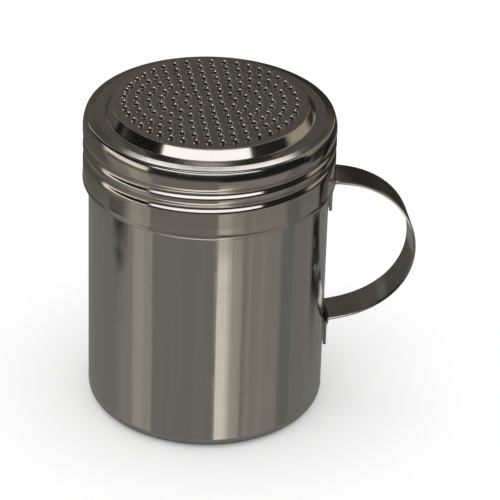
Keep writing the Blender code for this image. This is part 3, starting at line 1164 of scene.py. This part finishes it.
@dataclass
class StrapHandle:
    """The handle: one strip bent into a loop, with a tab at each end that follows the can."""

    lid_bottom: float
    reach: float
    can_radius: float = 34.7 * MM
    width: float = 11.2 * MM
    thickness: float = 0.86 * MM
    edge_rounding: float = 0.26 * MM
    bend_radius: float = 1.6 * MM
    slope: float = 7.3
    tab_length: float = 8.4 * MM
    corner_radius: float = 2.2 * MM
    flatten_length: float = 9.6 * MM
    lower_tab_height: float = 14.5 * MM
    bulge_drop: float = 0.6 * MM
    root_pull_share: float = 0.76
    tip_pull_share: float = 0.39
    seat_gap: float = 0.3 * MM
    lid_gap: float = 0.35 * MM
    sharp_angle: float = 60.0
    bend_steps: int = 16
    curve_points: int = 60
    tab_rows: int = 24
    flat_points: int = 15
    edge_steps: int = 5

    @property
    def tab_radius(self) -> float:
        """Radius of the middle of both tabs."""
        return self.can_radius + self.seat_gap + self.thickness / 2

    @property
    def upper_bend(self) -> float:
        """Height of the upper bend's centre."""
        return self.lid_bottom - self.lid_gap - self.bend_radius - self.thickness / 2

    @property
    def lower_bend(self) -> float:
        """Height of the lower bend's centre."""
        return self.lower_tab_height + self.tab_length

    def path(self) -> np.ndarray:
        """Draws the strap's middle line from the upper tab's end to the lower tab's end.

        Returns:
            Radius and height for each point.
        """
        centre = self.tab_radius + self.bend_radius
        upper = arc((centre, self.upper_bend), self.bend_radius, 180, 90 - self.slope, self.bend_steps)
        lower = arc((centre, self.lower_bend), self.bend_radius, 90 + self.slope, 180, self.bend_steps)
        top, foot = Vector(upper[-1]), Vector(lower[0])
        tip = Vector((self.reach - self.thickness / 2, (top.y + foot.y) / 2 - self.bulge_drop))
        span = tip.x - top.x
        root, pull = self.root_pull_share * span, Vector((0, self.tip_pull_share * span))
        out_of_top = Vector(polar(tuple(top), root, -self.slope))
        into_foot = Vector(polar(tuple(foot), root, self.slope))
        first = geometry.interpolate_bezier(top, out_of_top, tip + pull, tip, self.curve_points)
        second = geometry.interpolate_bezier(tip, tip - pull, into_foot, foot, self.curve_points)
        ends = [
            [
                (self.tab_radius, height - self.tab_length + self.tab_length * i / self.tab_rows)
                for i in range(self.tab_rows)
            ]
            for height in (self.upper_bend, self.lower_bend)
        ]
        line = [*ends[0], *upper, *map(tuple, first[1:]), *map(tuple, second[1:-1]), *lower, *reversed(ends[1])]
        return np.array(line)

    def surface(self, line: np.ndarray, across: np.ndarray) -> np.ndarray:
        """Lays the strap's middle surface along its path, wrapped round the can at the tabs.

        Args:
            line: Radius and height for each row.
            across: Distance from the middle line, one row for each row of the line.

        Returns:
            One point for each value of across.
        """
        radius, height = line[:, :1], line[:, 1:]
        share = np.clip((radius - self.tab_radius) / self.flatten_length, 0, 1)
        wrap = 1 - share * share * (3 - 2 * share)
        curve = self.tab_radius - np.sqrt(self.tab_radius**2 - across**2)
        return np.stack([radius - wrap * curve, across, height + 0 * across], axis=-1)

    def section(self) -> np.ndarray:
        """Draws the strip's cross-section, rounded at its edges, in shares of its half sizes.

        Returns:
            For each point its share of the flat half width and half thickness, and what its rounding adds to both.
        """
        rounding = self.edge_rounding
        points = []
        for side in (1, -1):
            points += [(side * share, side, 0.0, 0.0) for share in np.linspace(-1, 1, self.flat_points)]
            for i in range(1, self.edge_steps):
                angle = math.radians(90 - 180 / self.edge_steps * i)
                across, up = rounding * math.cos(angle), rounding * (math.sin(angle) - 1)
                points.append((side, side, side * across, side * up))
        return np.array(points)

    def build(self, material: Material) -> Object:
        """Makes the handle.

        Args:
            material: The strap's steel.

        Returns:
            The finished piece.
        """
        line = self.path()
        legs = np.linalg.norm(np.diff(line, axis=0), axis=1)
        run = np.concatenate([[0], np.cumsum(legs)])
        # Extra rows close to both ends, where the corners and the edge are round.
        corner_angles, edge_angles = (np.radians(np.linspace(0, 90, count)) for count in (13, 5))
        close = self.corner_radius * (1 - np.cos(corner_angles))
        fine = self.edge_rounding * (1 - np.cos(edge_angles))
        spots = np.unique(np.round(np.concatenate([run, close, fine, run[-1] - close, run[-1] - fine]), 7))
        spots = spots[np.concatenate([[True], np.diff(spots) > WELD])]
        line = np.stack([np.interp(spots, run, line[:, i]) for i in (0, 1)], axis=1)
        from_end = np.minimum(spots, spots[-1] - spots)
        inset = np.clip(self.corner_radius - from_end, 0, self.corner_radius)
        half_width = self.width / 2 - self.corner_radius + np.sqrt(self.corner_radius**2 - inset**2)
        shy = np.clip(self.edge_rounding - from_end, 0, self.edge_rounding)
        half_thick = self.thickness / 2 - self.edge_rounding + np.sqrt(self.edge_rounding**2 - shy**2)

        section = self.section()
        rows_count, columns = len(spots), len(section)
        flat_half = half_width[:, None] - self.edge_rounding
        across = section[None, :, 0] * flat_half + section[None, :, 2]
        thinning = half_thick[:, None] / (self.thickness / 2)
        out = section[None, :, 1] * half_thick[:, None] + section[None, :, 3] * thinning
        middle = self.surface(line, across)
        nudge = 0.01 * MM
        sideways = self.surface(line, across + nudge) - self.surface(line, across - nudge)
        forward = np.gradient(self.surface(line, across), axis=0)
        normal = np.cross(sideways, forward)
        normal /= np.linalg.norm(normal, axis=2, keepdims=True)
        points = middle + normal * out[..., None]
        faces = []
        for i in range(rows_count - 1):
            for j in range(columns):
                k = (j + 1) % columns
                faces.append((i * columns + j, i * columns + k, (i + 1) * columns + k, (i + 1) * columns + j))
        faces.append(tuple(reversed(range(columns))))
        faces.append(tuple(range((rows_count - 1) * columns, rows_count * columns)))
        mesh = bpy.data.meshes.new("strap_handle")
        mesh.from_pydata(points.reshape(-1, 3).tolist(), [], faces)
        strip = mesh.uv_layers.new(name="strip")
        along = np.repeat(spots, columns)
        sides = across.reshape(-1)
        for loop in mesh.loops:
            strip.data[loop.index].uv = (along[loop.vertex_index], sides[loop.vertex_index])
        mesh.materials.append(material)
        handle = place("strap_handle", mesh)
        smooth(handle, self.sharp_angle)
        return hand_over(handle, "can", ["handle_strap"], "bent strap handle with two tabs")


@dataclass
class Rivets:
    """The two rivets that hold the tabs to the can."""

    handle: StrapHandle
    below_bend: float = 2.3 * MM
    can_sheet: float = 0.5 * MM
    head_radius: float = 1.6 * MM
    head_height: float = 1.0 * MM
    shank_radius: float = 1.0 * MM
    tail_radius: float = 1.8 * MM
    tail_height: float = 0.6 * MM
    tail_rounding: float = 0.25 * MM
    head_wall: float = 0.12 * MM
    facets: int = 36

    def outline(self) -> list[Point]:
        """Draws one rivet about its own Z, from the tail's middle up to the dome, with 0 in the tab.

        Returns:
            The points.
        """
        seat = self.handle.thickness / 2
        inside = self.handle.can_radius - self.can_sheet - self.handle.tab_radius
        tail = inside - self.tail_height
        rounding, wall = self.tail_rounding, self.head_wall
        dome = [
            (self.head_radius * math.cos(a), seat + wall + (self.head_height - wall) * math.sin(a))
            for a in np.radians(np.linspace(0, 90, 13))
        ]
        return [
            (0.0, tail),
            *arc((self.tail_radius - rounding, tail + rounding), rounding, -90, 0, 5),
            (self.tail_radius, inside),
            (self.shank_radius, inside),
            (self.shank_radius, seat),
            (self.head_radius, seat),
            *dome[:-1],
            (0.0, dome[-1][1]),
        ]

    def build(self, tree: NodeTree, material: Material) -> Object:
        """Makes both rivets.

        Args:
            tree: The rivet pair tree.
            material: The rivets' steel.

        Returns:
            The finished piece.
        """
        pair = place("rivets", turn("rivets", tidy(self.outline()), self.facets))
        apply_tree(
            pair,
            tree,
            {
                "Upper Height": self.handle.upper_bend - self.below_bend,
                "Lower Height": self.handle.lower_bend - self.below_bend,
                "Tab Radius": self.handle.tab_radius,
                "Material": material,
            },
        )
        smooth(pair)
        return hand_over(pair, "can", ["upper_rivet", "lower_rivet"], "two domed rivets")


# ---------------------------------------------------------------- studio


@dataclass(frozen=True)
class PhotoCamera:
    """The camera that took the photograph, as measured from the lid's rings of holes."""

    plateau_top: float
    frame_px: float = 500.0
    focal_px: float = 3000.0
    elevation: float = 30.54
    azimuth: float = -8.6
    roll: float = 1.8
    distance: float = 851.9 * MM
    plateau_px: Point = (210.8, 102.0)

    def place(self) -> Object:
        """Puts the camera in the scene so that the plateau's middle falls on its own pixel.

        Returns:
            The camera.
        """
        sensor = 36.0
        data = bpy.data.cameras.new("photo_camera")
        data.sensor_width = sensor
        data.lens = sensor * self.focal_px / self.frame_px
        data.clip_start, data.clip_end = 0.05, 50.0
        elevation = math.radians(self.elevation)
        forward = Vector((0, math.cos(elevation), -math.sin(elevation)))
        right = Vector((1, 0, 0))
        up = right.cross(forward)
        tilt = Matrix.Rotation(math.radians(-self.roll), 3, forward)
        heading = Matrix.Rotation(math.radians(self.azimuth), 3, "Z")
        axes = Matrix((heading @ tilt @ right, heading @ tilt @ up, -(heading @ tilt @ forward))).transposed()
        middle = self.frame_px / 2
        seen = Vector((
            (self.plateau_px[0] - middle) / self.focal_px * self.distance,
            (middle - self.plateau_px[1]) / self.focal_px * self.distance,
            -self.distance,
        ))
        camera = bpy.data.objects.new("photo_camera", data)
        camera.matrix_world = Matrix.Translation(Vector((0, 0, self.plateau_top)) - axes @ seen) @ axes.to_4x4()
        bpy.context.scene.collection.objects.link(camera)
        bpy.context.scene.camera = camera
        return camera


@dataclass(frozen=True)
class Board:
    """One soft-edged board or lamp cloth that stands round the shaker, as the steel sees it.

    Azimuths count from the camera's own side, to the right as the camera sees it, and elevations from the
    horizon. The sides fade over the softness, and the top and bottom over the fade.
    """

    left: float
    right: float
    low: float
    high: float
    light: Colour
    softness: float = 6.0
    fade: float = 6.0

    @property
    def values(self) -> dict[str, Any]:
        """Gives the inputs of the board's node group."""
        return {
            "Middle Azimuth": (self.left + self.right) / 2,
            "Half Width": (self.right - self.left) / 2,
            "Middle Elevation": (self.low + self.high) / 2,
            "Half Height": (self.high - self.low) / 2,
            "Softness": self.softness,
            "Fade": self.fade,
            "Light": (*self.light, 1.0),
        }


def warm(level: float, tint: float = 0.0) -> Colour:
    """Gives a nearly neutral light of this level, a little warmer as the tint grows."""
    return level * (1 + 0.5 * tint), level, level * (1 - tint)


ROOM = warm(0.09, 0.08)
BOARDS = (
    # Bands all the way round: below the horizon, above it, overhead and on the upper walls.
    Board(-180, 180, -100, -10, warm(0.21, 0.08), 16, 16),
    Board(-180, 180, 24, 30, (0.152, 0.132, 0.118), 8, 8),
    Board(-180, 180, 70, 100, warm(1.6), 8, 5),
    Board(-180, 180, 40, 70, warm(0.3), 8, 8),
    # What the lid's slopes, grooves and nibs reflect, from above the horizon and just under it.
    Board(92, 268, 56, 94, warm(0.05), 24, 6),
    Board(-75, 75, 43, 69, warm(0.03), 20, 5),
    Board(140, 220, 38, 58, warm(0.09, 0.1), 5, 5),
    Board(166, 194, 42.5, 50.5, warm(1.6), 5, 2),
    Board(-52, 48, 20, 42, warm(1.65), 2.5, 4),
    Board(-140, -78, 16, 50, warm(0.75, 0.06), 12, 12),
    Board(90, 150, 12, 50, warm(0.33, 0.1), 12, 12),
    Board(-132, -54, 4, 54, warm(0.012), 6, 5),
    Board(-104, -52, -2, 10.5, warm(1.2, 0.16), 5, 4),
    Board(-128, -98, -7, 5, warm(0.8, 0.16), 8, 5),
    Board(48, 92, -8, 54, warm(0.025), 6, 6),
    Board(-52, 10, -6, 17, warm(0.028, 0.2), 2.5, 10),
    Board(10, 98, -16, 16, warm(0.018, 0.1), 2.5, 12),
    Board(-200, -101, -28.8, 6, warm(0.11, 0.12), 6, 1.4),
    Board(100, 178, -24, 26, warm(0.035, 0.1), 10, 10),
    Board(94, 152, 1, 17, warm(0.42, 0.25), 8, 6),
    # What the upright walls reflect, well below the horizon.
    Board(-60, 30, -100, -48, warm(1.2, 0.08), 14, 12),
    Board(-76, -60, -46, -12, warm(0.39, 0.14), 5, 8),
    Board(-60, -52, -46, -12, warm(0.35, 0.14), 1.5, 8),
    Board(-94, -74, -46, -12, warm(0.26, 0.1), 8, 8),
    Board(4, 76, -46, -12, warm(0.26, 0.12), 8, 8),
    Board(6, 34, -46, -29.1, warm(0.42, 0.13), 9, 1.2),
    Board(5, 22.5, -46, -29.3, warm(0.85, 0.14), 8, 1.0),
    Board(29, 31, -46, -29.1, warm(0.4, 0.12), 1.5, 1.2),
    Board(35.5, 38, -46, -29.1, warm(0.2, 0.1), 1.5, 1.2),
    Board(42, 44, -46, -29.1, warm(0.34, 0.12), 1.5, 1.2),
    Board(55, 57, -46, -29.1, warm(0.31, 0.12), 1.5, 1.2),
    Board(-52, 10.4, -46, -14, warm(0.205, 0.1), 1.5, 8),
    Board(-101, -80, -29.8, -28.9, warm(0.02, 0.06), 4, 0.5),
    Board(-96, -86, -30.5, -29.5, warm(0.012, 0.06), 4, 0.6),
    Board(76, 92, -46, -12, warm(0.17, 0.06), 4, 8),
    Board(121, 134, -31.6, -12, warm(0.012, 0.06), 4, 0.8),
)


def studio_board_group() -> NodeTree:
    """Builds the group that lays one board over what is behind it.

    Returns:
        A group with the board's place, size and light as inputs.
    """
    names = (
        "Azimuth", "Elevation", "Middle Azimuth", "Middle Elevation", "Half Width", "Half Height", "Softness", "Fade",
    )
    graph, given, end = new_group(
        "studio_board",
        TreeKind.SHADER,
        {**{name: Socket.FLOAT for name in names}, "Light": Socket.COLOUR, "Behind": Socket.COLOUR},
        {"Seen": Socket.COLOUR},
    )
    masks = []
    turn_to = graph.math("SUBTRACT", given["Azimuth"], given["Middle Azimuth"])
    across = graph.math("ABSOLUTE", graph.math("WRAP", turn_to, 180.0, -180.0))
    above = graph.math("ABSOLUTE", graph.math("SUBTRACT", given["Elevation"], given["Middle Elevation"]))
    sides = ((across, given["Half Width"], given["Softness"]), (above, given["Half Height"], given["Fade"]))
    for distance, half, fade in sides:
        half_soft = graph.math("MULTIPLY", fade, 0.5)
        inner = graph.math("SUBTRACT", half, half_soft)
        outer = graph.math("ADD", half, half_soft)
        masks.append(graph.step(distance, inner, outer, (1.0, 0.0)))
    graph.feed(end.inputs["Seen"], graph.mix(graph.math("MULTIPLY", *masks), given["Behind"], given["Light"]))
    return graph.tree


@dataclass(frozen=True)
class Studio:
    """A plain pale floor and plain soft light, inside a room that only shows in polished steel."""

    front: float
    floor_size: float = 6.0
    floor_drop: float = 0.05 * MM
    paper: float = 0.97
    lift: float = 0.14
    shade_radius: float = 38.5 * MM
    shade: float = 0.34
    shade_drop: float = 0.04 * MM
    room_radius: float = 2.4
    room_centre: float = 50 * MM

    def build(self) -> None:
        """Lays the floor, lights the scene and puts up the room."""
        self.lay_floor()
        self.shade_floor()
        self.light()
        self.put_up_room()

    @staticmethod
    def dull_paper(name: str, level: float) -> Material:
        """Makes a paper without any sheen.

        Args:
            name: Name of the material.
            level: How light its grey is.

        Returns:
            The material.
        """
        paint = bpy.data.materials.new(name)
        paint.use_nodes = True
        shader = paint.node_tree.nodes["Principled BSDF"]
        shader.inputs["Base Color"].default_value = (level, level, level, 1)
        shader.inputs["Roughness"].default_value = 0.9
        shader.inputs["Specular IOR Level"].default_value = 0.0
        return paint

    def lay_floor(self) -> None:
        """Lays a sheet of white paper under the shaker, a little lighter to the camera than it is lit."""
        half, under = self.floor_size / 2, -self.floor_drop
        mesh = bpy.data.meshes.new("floor")
        corners = [(x * half, y * half, under) for x, y in ((-1, -1), (1, -1), (1, 1), (-1, 1))]
        mesh.from_pydata(corners, [], [(0, 1, 2, 3)])
        paint = self.dull_paper("floor_paper", self.paper)
        shader = paint.node_tree.nodes["Principled BSDF"]
        shader.inputs["Emission Color"].default_value = (1, 1, 1, 1)
        graph = Graph(paint.node_tree)
        seen = graph.add("ShaderNodeLightPath").outputs["Is Camera Ray"]
        graph.feed(shader.inputs["Emission Strength"], graph.math("MULTIPLY", seen, self.lift))
        mesh.materials.append(paint)
        floor = place("floor", mesh)
        floor.visible_glossy = False

    def shade_floor(self) -> None:
        """Lays a dark disc of painted shadow on the floor close to the can, which only the can's rounded corner
        reflects.
        """
        mesh = bpy.data.meshes.new("shaded_floor")
        shape = bmesh.new()
        under = Matrix.Translation((0, 0, -self.shade_drop))
        bmesh.ops.create_circle(shape, cap_ends=True, segments=64, radius=self.shade_radius, matrix=under)
        shape.to_mesh(mesh)
        shape.free()
        paint = self.dull_paper("shaded_paper", self.shade)
        mesh.materials.append(paint)
        disc = place("shaded_floor", mesh)
        disc.visible_camera = disc.visible_diffuse = disc.visible_shadow = False

    def light(self) -> None:
        """Lights everything evenly from a white dome."""
        world = bpy.data.worlds.new("white_dome")
        bpy.context.scene.world = world
        world.use_nodes = True
        dome = world.node_tree.nodes["Background"]
        dome.inputs["Color"].default_value = (1, 1, 1, 1)
        dome.inputs["Strength"].default_value = 1.0
        world.cycles_visibility.glossy = False

    def put_up_room(self) -> None:
        """Puts up the room, a sphere with its lamp cloths and boards on it, out of sight of the camera."""
        mesh = bpy.data.meshes.new("room")
        shape = bmesh.new()
        middle = Matrix.Translation((0, 0, self.room_centre))
        bmesh.ops.create_icosphere(shape, subdivisions=5, radius=self.room_radius, matrix=middle)
        bmesh.ops.reverse_faces(shape, faces=shape.faces)
        shape.to_mesh(mesh)
        shape.free()
        mesh.materials.append(self.room_cloth())
        room = place("room", mesh)
        room.visible_camera = room.visible_diffuse = room.visible_shadow = False

    def room_cloth(self) -> Material:
        """Makes the room's material, which glows with each board in its place.

        Returns:
            The material.
        """
        cloth = bpy.data.materials.new("room_cloth")
        cloth.use_nodes = True
        cloth.cycles.emission_sampling = "NONE"
        cloth.node_tree.nodes.clear()
        graph = Graph(cloth.node_tree)
        spot = graph.add("ShaderNodeTexCoord").outputs["Object"]
        ray = graph.vector("NORMALIZE", graph.vector("SUBTRACT", spot, (0, 0, self.room_centre)))
        x, y, z = graph.add("ShaderNodeSeparateXYZ", {0: ray}).outputs
        degrees = 180 / math.pi
        heading = graph.math("MULTIPLY", graph.math("ARCTAN2", y, x), degrees)
        azimuth = graph.math("WRAP", graph.math("SUBTRACT", heading, self.front), 180.0, -180.0)
        elevation = graph.math("MULTIPLY", graph.math("ARCSINE", z), degrees)
        group = studio_board_group()
        seen: Any = (*ROOM, 1.0)
        for board in BOARDS:
            node = graph.add("ShaderNodeGroup", node_tree=group)
            inputs = {"Azimuth": azimuth, "Elevation": elevation, "Behind": seen, **board.values}
            for name, value in inputs.items():
                graph.feed(node.inputs[name], value)
            seen = node.outputs["Seen"]
        glow = graph.add("ShaderNodeEmission", {"Color": seen, "Strength": 1.0}).outputs[0]
        graph.add("ShaderNodeOutputMaterial", {"Surface": glow})
        return cloth


def main() -> None:
    """Builds the shaker and its studio."""
    logging.basicConfig(level=logging.INFO, format="%(name)s: %(message)s")
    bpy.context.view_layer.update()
    scene = bpy.context.scene
    scene.view_settings.view_transform = "Standard"

    lid_low, lid_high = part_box("lid")
    can_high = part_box("can_body")[1]
    strap_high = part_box("handle_strap")[1]
    groove = ScrewThread(start=lid_high.z - THREAD_DROP, rise=-THREAD_DEPTH)
    ridge = ScrewThread(start=groove.start - groove.lead / 2, rise=THREAD_DEPTH)
    thread_tree = rolled_thread_tree()

    effects = Effects()
    satin = PLAIN_INSIDE.make(effects)
    can_dress = Dress(CAN_STEEL.make(effects), satin)
    lid_dress = Dress(LID_STEEL.make(effects), satin)
    Can(ridge, lid_low.z, can_high.z).build(thread_tree, can_dress)
    Lid(groove, lid_high.z, lid_low.z).build(thread_tree, perforation_tree(), lid_dress)
    handle = StrapHandle(lid_low.z, strap_high.x)
    handle.build(STRAP_STEEL.make(effects))
    Rivets(handle).build(rivet_pair_tree(), RIVET_STEEL.make(effects))

    camera = PhotoCamera(lid_high.z)
    camera.place()
    Studio(front=camera.azimuth - 90).build()


if __name__ == "__main__":
    main()
